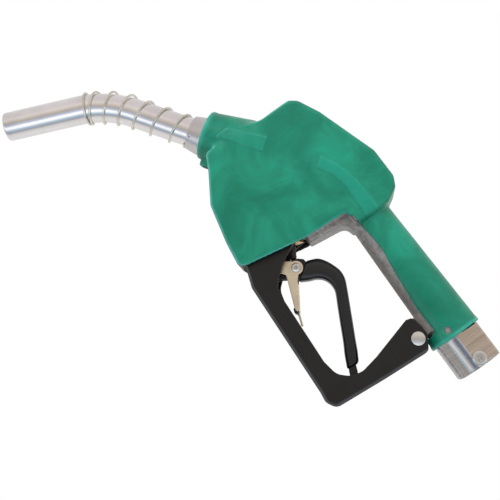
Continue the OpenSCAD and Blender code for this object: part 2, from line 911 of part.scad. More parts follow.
// ------------------------------------------------------------------ guard
module guard() {
    color([0.13, 0.13, 0.13])
        difference() {
            slab(guard_w / 2)
                guard_side_2d();
            // the channel is open towards the trigger
            slab(guard_in)
                polygon([[-190, -60], [-190, -96.3], [-158.6, -100.2], [-147, -104], [-52, -106.8],
                    [-45, -107.6], [-39.2, -104.5], [-36.2, -66], [-34.2, -27], [-34, 0], [-190, 0]]);
            // front end is open under the body
            slab(guard_in)
                polygon([[-190, -110], [-190, -60], [-150, -60], [-150, -110]]);
            cross(guard_pin, 4 + run_fit, 60);
            cross([-171, -84], 2.3, 60);
        }
}
module guard_rack() {
    color([0.15, 0.15, 0.15])
        layer(-5, 5)
            polygon([[-133, -104.2], [-133, -101], [-130, -98.6], [-128, -101], [-124, -98.4],
                [-122, -100.8], [-118, -98.2], [-116, -100.8], [-112, -98.4], [-110, -104.8]]);
}
module guard_rear_pin() {
    color([0.72, 0.71, 0.68])
        union() {
            cross(guard_pin, 3.95, guard_w + 1);
            for (s = [-1, 1])
                translate([0, s * (guard_w / 2 + 0.7), 0])
                    cross(guard_pin, 5.4, 1.4);
        }
}
module guard_front_screws() {
    color([0.7, 0.7, 0.7])
        for (s = [0, 180])
            translate([-171, 0, -84])
                rotate([90, 0, s]) {
                    translate([0, 0, guard_w / 2])
                        cylinder(h = 2.2, r = 3.8);
                    translate([0, 0, guard_w / 2 - 5.8])
                        cylinder(h = 6, r = 2);
                }
}

body_casting();
hand_insulator();
inlet_screw();
inlet_strainer();
spout_bushing();
bushing_o_ring();
spout_set_screw();
spout_tube();
vent_tube();
spout_wire();
check_seat();
check_poppet();
check_spring();
seat_ring();
packing_nut();
stem_packing();
valve_stem();
valve_disc();
valve_poppet();
poppet_spring();
valve_cap();
cap_o_ring();
plunger_gland();
latch_plunger();
latch_balls();
latch_pin();
plunger_spring();
diaphragm();
diaphragm_cap();
diaphragm_spring();
lever_core();
lever_sleeve();
lever_pin();
clip_rivet();
hold_open_clip();
clip_tip();
clip_spring();
guard();
guard_rack();
guard_rear_pin();
guard_front_screws();
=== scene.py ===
import bpy, json, math
import numpy as np
from mathutils import Vector, Matrix


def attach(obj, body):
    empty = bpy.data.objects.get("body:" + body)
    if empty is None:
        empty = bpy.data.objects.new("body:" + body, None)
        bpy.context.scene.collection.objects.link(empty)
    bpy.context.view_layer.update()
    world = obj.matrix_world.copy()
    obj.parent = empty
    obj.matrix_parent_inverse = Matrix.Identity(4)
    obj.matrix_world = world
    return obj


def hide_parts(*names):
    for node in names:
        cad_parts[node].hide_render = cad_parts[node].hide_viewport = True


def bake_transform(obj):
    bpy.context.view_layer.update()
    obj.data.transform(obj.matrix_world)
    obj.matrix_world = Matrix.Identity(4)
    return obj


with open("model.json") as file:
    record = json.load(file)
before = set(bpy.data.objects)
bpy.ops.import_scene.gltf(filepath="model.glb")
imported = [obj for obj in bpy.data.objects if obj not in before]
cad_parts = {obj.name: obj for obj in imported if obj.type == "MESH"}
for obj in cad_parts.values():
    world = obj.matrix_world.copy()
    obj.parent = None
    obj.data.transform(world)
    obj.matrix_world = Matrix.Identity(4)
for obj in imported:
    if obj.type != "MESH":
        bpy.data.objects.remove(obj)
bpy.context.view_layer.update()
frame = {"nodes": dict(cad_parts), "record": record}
RECORD = frame["record"]
NODES = frame["nodes"]
SLOT = {s["node"]: s["material_slot"] for s in RECORD["subparts"]}
BODY = {n: b for b, ns in RECORD["behaviour"]["bodies"].items() for n in ns}
MM = 0.001

# ------------------------------------------------------------------ the spout's line, as the CAD has it
# angle of the spout's root and of its bend in degrees, and the bend's radius
IN_A = 34.05
BEND = 32.3
BEND_R = 90 * MM
# where the line starts, in x and z
MOUTH = np.array([-270.5, -65.8]) * MM
# from there to the corner of the bend, and from the bend's end to the tip
TO_CORNER = 92.2 * MM
OUTER_LEG = 62.8 * MM
SPOUT_R = 11.9 * MM
SPOUT_WALL = 1.2 * MM


def direction(a):
    return np.array([math.cos(math.radians(a)), math.sin(math.radians(a))])


# distances along the line at which the bend starts and ends, and the tip's
S1 = TO_CORNER - BEND_R * math.tan(math.radians(BEND / 2))
S2 = S1 + BEND_R * math.radians(BEND)
S3 = S2 + OUTER_LEG
BEND_START = MOUTH - S1 * direction(IN_A)
BEND_MID = BEND_START + BEND_R * direction(IN_A - 90)
BEND_END = BEND_MID + BEND_R * direction(IN_A + 90 + BEND)


def line_a(d):
    """The line's angle at distance d, in degrees."""
    return IN_A if d < S1 else IN_A + BEND if d > S2 else IN_A + math.degrees((d - S1) / BEND_R)


def line_p(d):
    """The line's point at distance d, in x and z."""
    if d < S1:
        return MOUTH - d * direction(IN_A)
    if d > S2:
        return BEND_END - (d - S2) * direction(IN_A + BEND)
    return BEND_MID + BEND_R * direction(line_a(d) + 90)


def frame_at(d):
    """Point, in-plane normal, across and forward vectors of the spout's line at d."""
    p, a = line_p(d), math.radians(line_a(d))
    return (np.array([p[0], 0, p[1]]), np.array([-math.sin(a), 0, math.cos(a)]),
            np.array([0, 1.0, 0]), np.array([-math.cos(a), 0, -math.sin(a)]))


# ------------------------------------------------------------------ mesh helpers
def linked(name, data):
    ob = bpy.data.objects.new(name, data)
    bpy.context.scene.collection.objects.link(ob)
    return ob


def smooth_shaded(ob):
    ob.data.polygons.foreach_set("use_smooth", [True] * len(ob.data.polygons))
    return ob


def new_object(name, verts, faces):
    me = bpy.data.meshes.new(name)
    me.from_pydata([tuple(v) for v in verts], [], faces)
    me.validate()
    me.update()
    return smooth_shaded(linked(name, me))


def read(me, field="co"):
    """The mesh's points, or their normals, as an (n, 3) array."""
    values = np.empty(len(me.vertices) * 3, np.float32)
    me.vertices.foreach_get(field, values)
    return values.reshape(-1, 3)


def mark(me, name, values):
    """Keeps a value on each point, for the materials to read."""
    me.attributes.new(name, "FLOAT", "POINT").data.foreach_set("value", values)


def moved(ob, warp):
    """ob with its points where warp puts them."""
    ob.data.vertices.foreach_set("co", warp(read(ob.data).astype(float)).astype(np.float32).ravel())
    ob.data.update()
    return ob


def place(ob, node):
    """ob stands for a CAD node, on its body."""
    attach(ob, BODY[node])
    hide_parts(node)
    return ob


def applied(ob):
    """Replaces ob's mesh by its evaluated mesh, with no modifiers left."""
    bpy.context.view_layer.update()
    dg = bpy.context.evaluated_depsgraph_get()
    me = bpy.data.meshes.new_from_object(ob.evaluated_get(dg))
    ob.modifiers.clear()
    old = ob.data
    ob.data = me
    bpy.data.meshes.remove(old)
    me.name = ob.name
    return ob


def remeshed(node, voxel, rounds, name=None):
    """A copy of a CAD node with its edges rounded off: remeshed at voxel mm and smoothed."""
    ob = linked(name or node + "_form", NODES[node].data.copy())
    m = ob.modifiers.new("remesh", "REMESH")
    m.mode = "VOXEL"
    m.voxel_size = voxel * MM
    m.use_smooth_shade = True
    s = ob.modifiers.new("smooth", "SMOOTH")
    s.factor = 0.5
    s.iterations = rounds
    applied(ob)
    ob.data.materials.clear()
    return smooth_shaded(ob)


def circle(sides):
    """The angles of that many points round a circle."""
    return (2 * math.pi * a / sides for a in range(sides))


def tube(rings, closed=False):
    """Skin over equal rings of points. A closed one joins its last ring to its first, and others get caps."""
    n, k = len(rings), len(rings[0])
    verts = [p for r in rings for p in r]
    faces = []
    for i in range(n if closed else n - 1):
        j = (i + 1) % n
        for a in range(k):
            b = (a + 1) % k
            faces.append((i * k + a, i * k + b, j * k + b, j * k + a))
    if not closed:
        faces.append(tuple(range(k - 1, -1, -1)))
        faces.append(tuple((n - 1) * k + a for a in range(k)))
    return verts, faces


# ------------------------------------------------------------------ material helpers
class Mat:
    """A Principled material with short calls for the nodes that vary it."""

    def __init__(self, name):
        self.m = bpy.data.materials.new(name)
        self.m.use_nodes = True
        self.t = self.m.node_tree
        self.t.nodes.clear()
        self.out = self.t.nodes.new("ShaderNodeOutputMaterial")
        self.p = self.t.nodes.new("ShaderNodeBsdfPrincipled")
        self.t.links.new(self.p.outputs[0], self.out.inputs[0])
        self.coord = self.t.nodes.new("ShaderNodeTexCoord").outputs["Object"]
        self.bump_in = None

    def set(self, **kw):
        for k, v in kw.items():
            self.p.inputs[k.replace("_", " ")].default_value = v

    def link(self, a, b):
        self.t.links.new(a, b)

    def noise(self, scale, detail=4, rough=0.55, distort=0.0, stretch=None):
        """Noise in the object's space; stretch is a scale and a rotation of that space."""
        c = self.coord
        if stretch:
            mp = self.t.nodes.new("ShaderNodeMapping")
            mp.inputs["Rotation"].default_value = stretch[1]
            mp.inputs["Scale"].default_value = stretch[0]
            self.link(c, mp.inputs[0])
            c = mp.outputs[0]
        n = self.t.nodes.new("ShaderNodeTexNoise")
        n.inputs["Scale"].default_value = scale
        n.inputs["Detail"].default_value = detail
        n.inputs["Roughness"].default_value = rough
        n.inputs["Distortion"].default_value = distort
        self.link(c, n.inputs["Vector"])
        return n.outputs["Fac"]

    def ramp(self, fac, *stops):
        """Colours, or greys given as one number, by position."""
        r = self.t.nodes.new("ShaderNodeValToRGB")
        e = r.color_ramp.elements
        while len(e) < len(stops):
            e.new(0.5)
        for el, (pos, col) in zip(e, stops):
            el.position = pos
            el.color = (col, col, col, 1) if isinstance(col, (int, float)) else (*col, 1)
        self.link(fac, r.inputs[0])
        return r.outputs[0]

    def mix(self, fac, a, b):
        """Colour a where fac is 0, b where it is 1."""
        n = self.t.nodes.new("ShaderNodeMix")
        n.data_type = "RGBA"
        for sock, v in ((n.inputs[0], fac), (n.inputs[6], a), (n.inputs[7], b)):
            if isinstance(v, (int, float)):
                sock.default_value = v
            elif isinstance(v, tuple):
                sock.default_value = (*v, 1)
            else:
                self.link(v, sock)
        return n.outputs[2]

    def math(self, op, a, b=0.0):
        n = self.t.nodes.new("ShaderNodeMath")
        n.operation = op
        for sock, v in ((n.inputs[0], a), (n.inputs[1], b)):
            if isinstance(v, (int, float)):
                sock.default_value = v
            else:
                self.link(v, sock)
        return n.outputs[0]

    def edge(self, lo, hi):
        """From 0 to 1 on outside edges, from the mesh's pointiness."""
        g = self.t.nodes.new("ShaderNodeNewGeometry")
        return self.ramp(g.outputs["Pointiness"], (lo, 0.0), (hi, 1.0))

    def mask(self, name):
        """A value kept on the mesh's points."""
        n = self.t.nodes.new("ShaderNodeAttribute")
        n.attribute_name = name
        return n.outputs["Fac"]

    def split(self, axis):
        """X, Y or Z in the object's space, in metres."""
        n = self.t.nodes.new("ShaderNodeSeparateXYZ")
        self.link(self.coord, n.inputs[0])
        return n.outputs[axis]

    def color(self, sock):
        self.link(sock, self.p.inputs["Base Color"])

    def rough(self, sock):
        self.link(sock, self.p.inputs["Roughness"])

    def bump(self, height, dist, strength):
        b = self.t.nodes.new("ShaderNodeBump")
        b.inputs["Distance"].default_value = dist
        b.inputs["Strength"].default_value = strength
        self.link(height, b.inputs["Height"])
        if self.bump_in:
            self.link(self.bump_in, b.inputs["Normal"])
        self.bump_in = b.outputs[0]
        self.link(self.bump_in, self.p.inputs["Normal"])


def vinyl():
    """Moulded green vinyl, mottled, with dirt rubbed in, a painted highlight on its edges and marked lines,
    and painted shade inside its hollow.
    """
    m = Mat("green_vinyl")
    m.set(IOR=1.5, Coat_Weight=0.10, Coat_Roughness=0.14, Specular_IOR_Level=0.32)
    cloud = m.noise(23, 5, 0.62, 0.8)
    fine = m.noise(95, 4, 0.6)
    c = m.ramp(cloud, (0.34, (0.002, 0.178, 0.102)), (0.46, (0.004, 0.222, 0.136)),
               (0.54, (0.009, 0.262, 0.156)), (0.66, (0.009, 0.325, 0.205)))
    c = m.mix(m.ramp(fine, (0.42, 0.0), (0.75, 0.25)), c, (0.006, 0.255, 0.165))
    dirt = m.ramp(m.noise(40, 6, 0.7, 1.0), (0.58, 0.0), (0.78, 0.38))
    c = m.mix(dirt, c, (0.003, 0.118, 0.066))
    # painted highlight along the rounded edges, from the mesh's pointiness
    c = m.mix(m.math("MULTIPLY", m.edge(0.512, 0.565), 0.55), c, (0.05, 0.54, 0.43))
    c = m.mix(m.math("MULTIPLY", m.mask("band"), 0.5), c, (0.008, 0.33, 0.235))
    # painted highlight, broken up, on the marked long edges, inlet lip and rim round the spout
    line = m.math("MULTIPLY", m.mask("painted_highlight"), m.ramp(m.noise(55, 4, 0.6), (0.30, 0.45), (0.60, 1.0)))
    c = m.mix(line, c, (0.09, 0.60, 0.50))
    # painted shade: the inside of the hollow over the finger side goes near black
    c = m.mix(m.mask("inner"), c, (0.006, 0.009, 0.008))
    m.color(c)
    m.rough(m.ramp(m.noise(26, 5, 0.65, 0.8), (0.3, 0.26), (0.7, 0.44)))
    m.bump(m.noise(22, 3, 0.5, 0.4), 0.0009, 0.35)
    m.bump(m.noise(520, 2, 0.5), 0.00008, 0.5)
    return m.m


def coated_black(name, base, worn, bump, rough, painted_highlight=None, gloss=0.0):
    """A matt finish with fine scuffs; a painted highlight in the given colour goes where the mesh is marked
    for one.
    """
    m = Mat(name)
    m.set(IOR=1.5, Coat_Weight=gloss, Coat_Roughness=0.20)
    c = m.ramp(m.noise(60, 5, 0.6), (0.35, tuple(x * 0.82 for x in base)),
               (0.7, tuple(x * 1.25 for x in base)))
    scuff = m.ramp(m.noise(1, 6, 0.7, stretch=((140, 900, 500), (0, 0.5, 0))), (0.64, 0.0), (0.72, 0.6))
    c = m.mix(m.math("MULTIPLY", scuff, m.ramp(m.noise(35, 3), (0.52, 0.0), (0.68, 1.0))), c, worn)
    c = m.mix(m.math("MULTIPLY", m.edge(0.52, 0.60), 0.75), c, worn)
    # painted highlight, patchy, on the marked points
    if painted_highlight:
        patchy = m.ramp(m.noise(70, 4, 0.6), (0.30, 0.55), (0.60, 1.0))
        c = m.mix(m.math("MULTIPLY", m.mask("painted_highlight"), patchy), c, painted_highlight)
    m.color(c)
    m.rough(m.ramp(m.noise(75, 5, 0.6), (0.3, rough[0]), (0.7, rough[1])))
    m.bump(m.noise(900, 2, 0.5), bump, 0.6)
    return m.m


def metal(name, dark, light, rough, grain=None, stretch=None, bump=0.00002, spots=None):
    """Bare metal between two colours, its grain even or stretched, and stained where spots are given."""
    m = Mat(name)
    m.set(Metallic=1.0)
    c = m.ramp(m.noise(45, 6, 0.65, 0.4), (0.32, dark), (0.68, light))
    if spots:
        c = m.mix(m.ramp(m.noise(160, 5, 0.7, 0.6), (0.62, 0.0), (0.74, 0.55)), c, spots)
    m.color(c)
    m.rough(m.ramp(m.noise(1, 5, 0.6, stretch=stretch or ((120, 120, 120), (0, 0, 0))),
                   (0.3, rough[0]), (0.7, rough[1])))
    m.bump(m.noise(1, 3, 0.6, stretch=stretch or ((grain, grain, grain), (0, 0, 0))), bump, 0.6)
    return m.m


# the casting: where its painted shade starts in x, where its machined inlet starts, and how far out in y its
# pads are
SHADE_FROM = -0.128
MACHINED_FROM = -0.0288
FLAT_HALF = 0.0176
# brings heights down the casting's side, 0 to -25 mm, to 0 to 1 for a ramp
DOWN = -40.0


def cast():
    """Cast aluminium, with painted shade low on its finger side, and machined at the inlet, with a painted
    reflection and a painted highlight along the boss.
    """
    m = Mat("cast_aluminium")
    down = m.math("MULTIPLY", m.split("Z"), DOWN)
    grit = m.noise(1100, 3, 0.6)
    c = m.ramp(m.noise(50, 6, 0.7, 0.5), (0.3, (0.34, 0.32, 0.30)), (0.7, (0.54, 0.52, 0.50)))
    c = m.mix(m.ramp(m.noise(260, 5, 0.75), (0.48, 0.0), (0.66, 0.65)), c, (0.17, 0.155, 0.14))
    c = m.mix(m.math("MULTIPLY", m.edge(0.53, 0.62), 0.6), c, (0.86, 0.85, 0.83))
    # painted shade, darker towards the bottom, along the finger side of the handle
    low = m.ramp(down, (0.50, 0.0), (0.70, 0.8))
    low = m.math("MULTIPLY", low, m.math("GREATER_THAN", m.split("X"), SHADE_FROM))
    c = m.mix(low, c, (0.13, 0.11, 0.095))
    # the inlet boss is machined, with turning marks and a warmer face on its pads; a blue-dark line on it is
    # a painted reflection and a pale line a painted highlight
    bare = m.math("GREATER_THAN", m.split("X"), MACHINED_FROM)
    turned = m.noise(1, 4, 0.6, stretch=((900, 40, 40), (0, 0, 0)))
    flat = m.math("GREATER_THAN", m.math("ABSOLUTE", m.split("Y")), FLAT_HALF)
    boss = m.ramp(turned, (0.3, (0.34, 0.31, 0.29)), (0.7, (0.50, 0.47, 0.44)))
    pads = m.ramp(turned, (0.3, (0.54, 0.45, 0.38)), (0.7, (0.74, 0.64, 0.55)))
    painted_blue_reflection = m.ramp(down, (0.13, 0.0), (0.17, 0.75), (0.25, 0.70), (0.31, 0.0))
    boss = m.mix(painted_blue_reflection, boss, (0.13, 0.17, 0.23))
    painted_pale_highlight = m.ramp(down, (0.31, 0.0), (0.36, 0.6), (0.43, 0.6), (0.52, 0.0))
    boss = m.mix(painted_pale_highlight, boss, (0.78, 0.77, 0.76))
    c = m.mix(bare, c, m.mix(flat, boss, pads))
    m.color(c)
    m.link(m.math("ADD", m.math("MULTIPLY", bare, 0.55), 0.4), m.p.inputs["Metallic"])
    m.rough(m.mix(bare, m.ramp(m.noise(150, 4), (0.3, 0.42), (0.7, 0.60)),
                  m.ramp(turned, (0.3, 0.20), (0.7, 0.34))))
    m.bump(m.noise(130, 4, 0.6), 0.0004, 0.5)
    cast_only = m.math("SUBTRACT", 1.0, m.math("MULTIPLY", bare, 0.85))
    m.bump(m.math("MULTIPLY", grit, cast_only), 0.00007, 0.7)
    return m.m


# rotation that lays a grain along or round the spout's root
TILT_IN = (0, math.radians(IN_A), 0)
MATS = {
    "green_vinyl": vinyl(),
    "cast_aluminium": cast(),
    # the guard's last colour is a painted highlight on its dressed outer edge
    "black_guard": coated_black(
        "black_guard", (0.0050, 0.0038, 0.0032), (0.050, 0.054, 0.060), 0.00005, (0.32, 0.48),
        painted_highlight=(0.066, 0.070, 0.078)),
    "black_sleeve": coated_black(
        "black_sleeve", (0.0034, 0.0038, 0.0060), (0.03, 0.033, 0.042), 0.00004, (0.24, 0.38), gloss=0.2),
    "spout_aluminium": metal(
        "spout_aluminium", (0.78, 0.76, 0.77), (0.90, 0.88, 0.89), (0.11, 0.20),
        stretch=((30, 400, 400), TILT_IN), bump=0.00001, spots=(0.62, 0.58, 0.56)),
    "machined_aluminium": metal(
        "machined_aluminium", (0.58, 0.56, 0.57), (0.72, 0.70, 0.71), (0.22, 0.36),
        stretch=((1500, 60, 60), TILT_IN)),
    "spring_wire": metal("spring_wire", (0.66, 0.63, 0.56), (0.85, 0.82, 0.74), (0.20, 0.36), 800),
    "clip_steel": metal(
        "clip_steel", (0.74, 0.63, 0.47), (0.94, 0.84, 0.66), (0.28, 0.45), 500, spots=(0.50, 0.40, 0.29)),
    "zinc_steel": metal(
        "zinc_steel", (0.62, 0.61, 0.58), (0.78, 0.77, 0.74), (0.20, 0.34), 600, spots=(0.40, 0.38, 0.34)),
    "black_metal": coated_black(
        "black_metal", (0.0095, 0.0075, 0.0065), (0.10, 0.09, 0.08), 0.00005, (0.30, 0.48)),
    "brass": metal(
        "brass", (0.52, 0.30, 0.11), (0.70, 0.46, 0.20), (0.20, 0.34), 700, spots=(0.34, 0.19, 0.07)),
    "stainless": metal("stainless", (0.52, 0.52, 0.51), (0.66, 0.66, 0.65), (0.22, 0.36), 700),
    "seal_rubber": coated_black("seal_rubber", (0.012,) * 3, (0.03,) * 3, 0.00004, (0.5, 0.7)),
    "packing": coated_black("packing", (0.70, 0.69, 0.65), (0.80, 0.79, 0.76), 0.00003, (0.4, 0.6)),
}


def paint(ob, slot):
    ob.data.materials.clear()
    ob.data.materials.append(MATS[slot])


for n, ob in NODES.items():
    paint(ob, SLOT[n])

# ------------------------------------------------------------------ insulator, casting and pressed pieces
def outline_depth(p, outline):
    """How far in metres each point of p (n, 2) lies inside a closed outline in mm; negative outside."""
    pts = np.array(outline) * MM
    best = np.full(len(p), 1e9)
    inside = np.zeros(len(p), bool)
    for a, b in zip(pts, np.roll(pts, -1, axis=0)):
        t = np.clip(((p - a) @ (b - a)) / ((b - a) @ (b - a)), 0, 1)
        best = np.minimum(best, np.linalg.norm(p - (a + t[:, None] * (b - a)), axis=1))
        cross = ((a[1] > p[:, 1]) != (b[1] > p[:, 1]))
        with np.errstate(divide="ignore", invalid="ignore"):
            x = (b[0] - a[0]) * (p[:, 1] - a[1]) / (b[1] - a[1]) + a[0]
        inside ^= cross & (p[:, 0] < x)
    return np.where(inside, best, -best)


def ease(x):
    """0 to 1, with a smooth start and end."""
    x = np.clip(x, 0, 1)
    return x * x * (3 - 2 * x)


# outlines in x and z, in mm, of the cover's low raised bands
NOSE_BAND = [(-262, -62), (-258.3, -59.3), (-244, -49), (-230.5, -39.6), (-229.3, -38.4), (-234.5, -31.3),
             (-236.5, -28.7), (-247.7, -38.2), (-262, -50)]
GRIP_BAND = [(-199.1, -4.2), (-193.4, -12.2), (-187, -8.2), (-181.5, -5.4), (-170, -2.9), (-150, -3.4),
             (-128, -4.6), (-128, 7), (-150, 7.4), (-167.3, 6.6), (-177.6, 4.6), (-186.7, 1.7)]
# how high they stand, and how wide their sloping edges are
BAND_LIFT = 0.95 * MM
BAND_EDGE = 1.0 * MM
# the grip's band fades out along the handle up to here, over that length
GRIP_BAND_END = -0.128
GRIP_BAND_FADE = 0.02
# the cover's broad sides lie further out than this
BROAD_SIDE = 13 * MM


def band_height(co):
    """1 on the low raised bands, one from the nose and one into the grip, on each broad side."""
    p = co[:, [0, 2]]
    nose, handle = (ease((outline_depth(p, band) + BAND_EDGE / 2) / BAND_EDGE)
                    for band in (NOSE_BAND, GRIP_BAND))
    h = np.maximum(nose, handle * ease((GRIP_BAND_END - p[:, 0]) / GRIP_BAND_FADE))
    return np.where(np.abs(co[:, 1]) > BROAD_SIDE, h, 0)


def bands(co):
    co[:, 1] += np.sign(co[:, 1]) * band_height(co) * BAND_LIFT
    return co


# the guard's outer edge in x and z, in mm, the guard's half width, and how wide its dressed face is across
OUTER_EDGE = [(-176, -99.5), (-158, -103.5), (-147, -107.2), (-52, -110), (-44, -111), (-40, -109.4),
              (-36, -106.5), (-34.6, -88), (-33, -66), (-31, -27)]
GUARD_HALF = 16 * MM
DRESSED = 2.3 * MM


def edge_push(co):
    """How far each of the guard's points is pushed in to dress its outer edge off at 45 degrees, and the
    direction of that in x and z."""
    pts = np.array(OUTER_EDGE) * MM
    p = co[:, [0, 2]]
    best = np.full(len(p), 1e9)
    away = np.zeros((len(p), 2))
    for a, b in zip(pts[:-1], pts[1:]):
        t = np.clip(((p - a) @ (b - a)) / ((b - a) @ (b - a)), 0, 1)
        v = p - (a + t[:, None] * (b - a))
        d = np.linalg.norm(v, axis=1)
        n = np.array([-(b - a)[1], (b - a)[0]]) / np.linalg.norm(b - a)
        near = d < best
        best = np.where(near, d, best)
        away[near] = n
    side = GUARD_HALF - np.abs(co[:, 1])
    return np.clip(DRESSED - best - side, 0, None) / 2, away


def bevelled(co):
    """The guard with its outer edge dressed off."""
    push, away = edge_push(co)
    co[:, 0] += away[:, 0] * push
    co[:, 2] += away[:, 1] * push
    co[:, 1] -= np.sign(co[:, 1]) * push
    return co


def painted_highlight(ob):
    """Marks the points that the dressing moves, for a painted highlight on the dressed edge; full from 0.25
    mm on.
    """
    push = edge_push(read(ob.data).astype(float))[0]
    mark(ob.data, "painted_highlight", np.clip(push / (0.25 * MM), 0, 1))
    return ob


def soften(ob, centre, radius, rounds):
    """Smooths ob strongly round centre, fading out over radius (mm). The inside keeps its clearance."""
    me = ob.data
    co = read(me)
    d = np.linalg.norm(co[:, [0, 2]] - np.array(centre) * MM, axis=1)
    w = ease((radius * MM - d) / (radius * 0.45 * MM))
    # only what faces away from a point inside the nose
    heart = np.array([centre[0] + 12, 0, centre[1]]) * MM
    w *= np.einsum("ij,ij->i", read(me, "normal"), co - heart) > 0
    g = ob.vertex_groups.new(name="soft")
    for level in range(1, 11):
        g.add([int(k) for k in np.nonzero(np.ceil(w * 10) == level)[0]], level / 10, "REPLACE")
    m = ob.modifiers.new("soften", "SMOOTH")
    m.factor = 0.5
    m.iterations = rounds
    m.vertex_group = "soft"
    return smooth_shaded(applied(ob))


def bell(x, middle, width):
    """1 at middle, falling off over width on both sides."""
    return np.exp(-((x - middle) / width) ** 2)


# along x: the end of the cover's body towards the handle, the lip at its inlet and where that counts from,
# the nose's end that holds the spout, and the nose's band
BODY_END = -0.1515
LIP = -0.0305
LIP_FROM = -0.036
NOSE_END = -0.24
NOSE_BAND_END = -0.215
# the cover's hollow over the handle's finger side, from and to in x, and its top and half width
HOLLOW = (-0.169, -0.125)
HOLLOW_TOP = -0.013
HOLLOW_HALF = 21.6 * MM


def edge_lines(ob):
    """Marks the cover's bands, the inside of its hollow for painted shade, and where a painted highlight
    goes:
    its rounded long edges, the lip at its inlet end and the rim round the spout."""
    co, nor = read(ob.data), read(ob.data, "normal")
    x, out = co[:, 0], np.abs(co[:, 1])
    long_edge = bell(np.abs(nor[:, 1]), 0.62, 0.16)
    on_edge = (x < BODY_END) & (out > 18.5 * MM) & (nor[:, 2] < 0.25)
    lip = bell(x, LIP, 0.0012) * 0.6
    facing = nor[:, 1] * np.sign(co[:, 1])
    # the hollow's inside, where painted shade goes
    shaded_hollow = ((out < HOLLOW_HALF) & (facing < 0.3) & (co[:, 2] < HOLLOW_TOP)
              & (x > HOLLOW[0]) & (x < HOLLOW[1]))
    ahead = (co[:, [0, 2]] - MOUTH) @ -direction(IN_A)
    mouth = bell(ahead, 2.4 * MM, 2.2 * MM) * 0.45 * (x < NOSE_END)
    tint = band_height(co.astype(float)) * (facing > 0.6) * np.where(x < NOSE_BAND_END, 0.45, 1.0)
    # where the painted highlight goes
    paler = np.where(on_edge, long_edge, 0) + np.where(x > LIP_FROM, lip, 0) + mouth
    for name, value in (("painted_highlight", paler), ("band", tint), ("inner", shaded_hollow)):
        mark(ob.data, name, value.astype(np.float32))
    return ob


NOSE_CORNER = (-250, -46)
cover = remeshed("hand_insulator", 0.85, 14, "insulator_skin")
soften(cover, NOSE_CORNER, 27, 160)
edge_lines(place(moved(cover, bands), "hand_insulator"))
paint(cover, "green_vinyl")
casting = place(remeshed("body_casting", 0.85, 6, "casting_form"), "body_casting")
paint(casting, "cast_aluminium")
for node, voxel, rounds in (("lever_core", 0.4, 4), ("hold_open_clip", 0.32, 2), ("clip_tip", 0.3, 5),
                            ("guard_rack", 0.4, 3), ("inlet_screw", 0.17, 3), ("lever_pin", 0.25, 3),
                            ("packing_nut", 0.3, 2), ("guard_front_screws", 0.25, 2)):
    paint(place(remeshed(node, voxel, rounds), node), SLOT[node])
paint(place(moved(painted_highlight(remeshed("guard", 0.5, 4)), bevelled), "guard"), "black_guard")


def head(co, centre, from_y, lift):
    """Raises what lies further out than from_y on both sides, by lift(distance from centre), both in mm."""
    r = np.hypot(co[:, 0] - centre[0], co[:, 2] - centre[1]) / MM
    co[:, 1] += np.sign(co[:, 1]) * np.where(np.abs(co[:, 1]) > from_y, lift(r) * MM, 0)
    return co


# centres of the guard's rear pin and of the clip's rivet, in x and z
PIN = (-0.043, -0.027)
RIVET = (-0.141, -0.070)


def domed(co):
    """The pin's heads, raised towards their middles."""
    return head(co, PIN, 16.6 * MM, lambda r: 1.1 * np.clip(1 - (r / 5.4) ** 2, 0, 1))


paint(place(moved(remeshed("guard_rear_pin", 0.3, 5), domed), "guard_rear_pin"), "zinc_steel")


def dimpled(co):
    """The rivet's heads, rounded, each with a small punched hollow."""
    return head(co, RIVET, 10.1 * MM,
                lambda r: 0.9 * np.clip(1 - (r / 3.6) ** 2, 0, 1) - 1.9 * np.exp(-(r / 1.1) ** 4))


paint(place(moved(remeshed("clip_rivet", 0.16, 4), dimpled), "clip_rivet"), "zinc_steel")

# ------------------------------------------------------------------ the trigger's grip
# pairs of points across it, in x and z, in mm: its upper edge and its lower, from the hinge end to the tail
GRIP = [((-141.2, -58.6), (-130.6, -73.0)), ((-138.0, -51.6), (-127.6, -67.6)),
        ((-132.1, -47.1), (-125.4, -62.4)), ((-125.5, -44.3), (-122.4, -58.6)),
        ((-119.5, -42.8), (-118.4, -56.2)), ((-113, -43.5), (-114, -55.4)),
        ((-106, -46.5), (-108.5, -56.2)), ((-95, -51.9), (-99, -61)), ((-84, -57.4), (-88.4, -66.4)),
        ((-70, -64.5), (-74, -73.6)), ((-62, -68.4), (-65.4, -78.4)), ((-55.9, -71.9), (-56.8, -82.5))]
# half its width across, in mm
SLEEVE_HALF = 7.5
# how far its ends roll over, in mm, at the hinge and at the tail
ROLLS = (1.4, 2.3)
# power of its section, between an ellipse (2) and a rectangle
SQUARENESS = 3.2
SECTION_SIDES = 56


def curve_through(points, steps):
    """A smooth curve through all the points, with that many steps between two (Catmull-Rom)."""
    p = [2 * points[0] - points[1]] + points + [2 * points[-1] - points[-2]]
    line = []
    for i in range(1, len(p) - 2):
        for k in range(steps):
            t = k / steps
            line.append(0.5 * (2 * p[i] + (p[i + 1] - p[i - 1]) * t
                               + (2 * p[i - 1] - 5 * p[i] + 4 * p[i + 1] - p[i + 2]) * t * t
                               + (3 * p[i] - p[i - 1] - 3 * p[i + 1] + p[i + 2]) * t ** 3))
    return line + [p[-2]]


